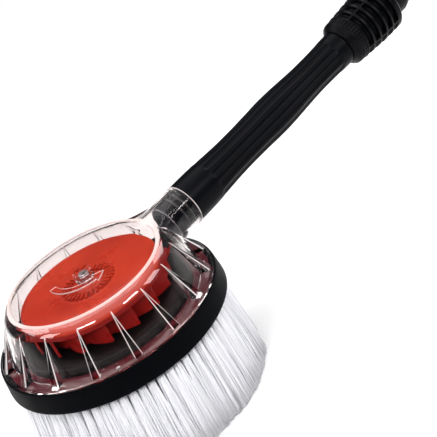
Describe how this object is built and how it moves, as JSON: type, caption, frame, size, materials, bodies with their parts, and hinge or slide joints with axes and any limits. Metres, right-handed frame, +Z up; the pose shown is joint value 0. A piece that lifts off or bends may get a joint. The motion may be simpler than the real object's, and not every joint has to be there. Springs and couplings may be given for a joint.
{
  "type": "wheel brush",
  "caption": "Water-driven rotary wash brush: clear turbine housing over a spinning round brush, rubber bumper, straight fluted handle and bayonet inlet.",
  "frame": {"origin": "middle of the bounding box on the floor plane touched by the bristle tips", "axes": "+Z up along the brush axis, +X along the handle towards the water inlet"},
  "size_m": [0.4314, 0.164, 0.1328],
  "materials": {
    "clear_plastic": "clear polished moulding",
    "bumper_rubber": "matte moulded rubber",
    "black_plastic": "satin moulded plastic",
    "collar_plastic": "satin moulded plastic",
    "turbine_red": "smooth orange-red moulding",
    "gear_white": "natural acetal",
    "bristle_white": "soft white filament",
    "steel": "stainless steel",
    "seal_rubber": "smooth rubber seal"
  },
  "bodies": {
    "housing": {"clear_housing": "clear_plastic", "bumper_ring": "bumper_rubber", "gear_cover": "black_plastic", "cover_screw_1": "steel", "cover_screw_2": "steel", "cover_screw_3": "steel", "cover_screw_4": "steel", "planet_pin_1": "steel", "planet_pin_2": "steel", "planet_pin_3": "steel", "centre_shaft": "steel", "retaining_washer": "steel", "retaining_screw": "steel", "jet_nozzle": "black_plastic", "neck_oring_front": "seal_rubber", "neck_oring_rear": "seal_rubber", "handle_tube": "black_plastic", "inlet_connector": "black_plastic", "inlet_oring": "seal_rubber", "inlet_strainer": "steel"},
    "turbine": {"turbine_wheel": "turbine_red"},
    "planet_1": {"planet_gear_1": "gear_white"},
    "planet_2": {"planet_gear_2": "gear_white"},
    "planet_3": {"planet_gear_3": "gear_white"},
    "brush": {"brush_carrier": "black_plastic", "outer_bristles": "bristle_white", "inner_bristles": "bristle_white"},
    "collar": {"coupling_collar": "collar_plastic"}
  },
  "joints": [
    {"name": "brush_spin", "type": "hinge", "parent": "housing", "child": "brush", "pos_m": [-0.13373, 0, 0.062], "axis": [0, 0, 1], "continuous": true},
    {"name": "turbine_spin", "type": "hinge", "parent": "housing", "child": "turbine", "pos_m": [-0.13373, 0, 0.088], "axis": [0, 0, 1], "continuous": true},
    {"name": "planet_1_spin", "type": "hinge", "parent": "housing", "child": "planet_1", "pos_m": [-0.11123, 0, 0.0686], "axis": [0, 0, 1], "continuous": true},
    {"name": "planet_2_spin", "type": "hinge", "parent": "housing", "child": "planet_2", "pos_m": [-0.14498, 0.01949, 0.0686], "axis": [0, 0, 1], "continuous": true},
    {"name": "planet_3_spin", "type": "hinge", "parent": "housing", "child": "planet_3", "pos_m": [-0.14498, -0.01949, 0.0686], "axis": [0, 0, 1], "continuous": true},
    {"name": "collar_turn", "type": "hinge", "parent": "housing", "child": "collar", "pos_m": [0.14693, 0, 0.11097], "axis": [0.9965, 0, 0.0837], "range_deg": [0, 90]}
  ],
  "couplings": [
    {"joint": "turbine_spin", "follows": "brush_spin", "ratio": -5},
    {"joint": "planet_1_spin", "follows": "brush_spin", "ratio": 2.5},
    {"joint": "planet_2_spin", "follows": "brush_spin", "ratio": 2.5},
    {"joint": "planet_3_spin", "follows": "brush_spin", "ratio": 2.5}
  ]
}
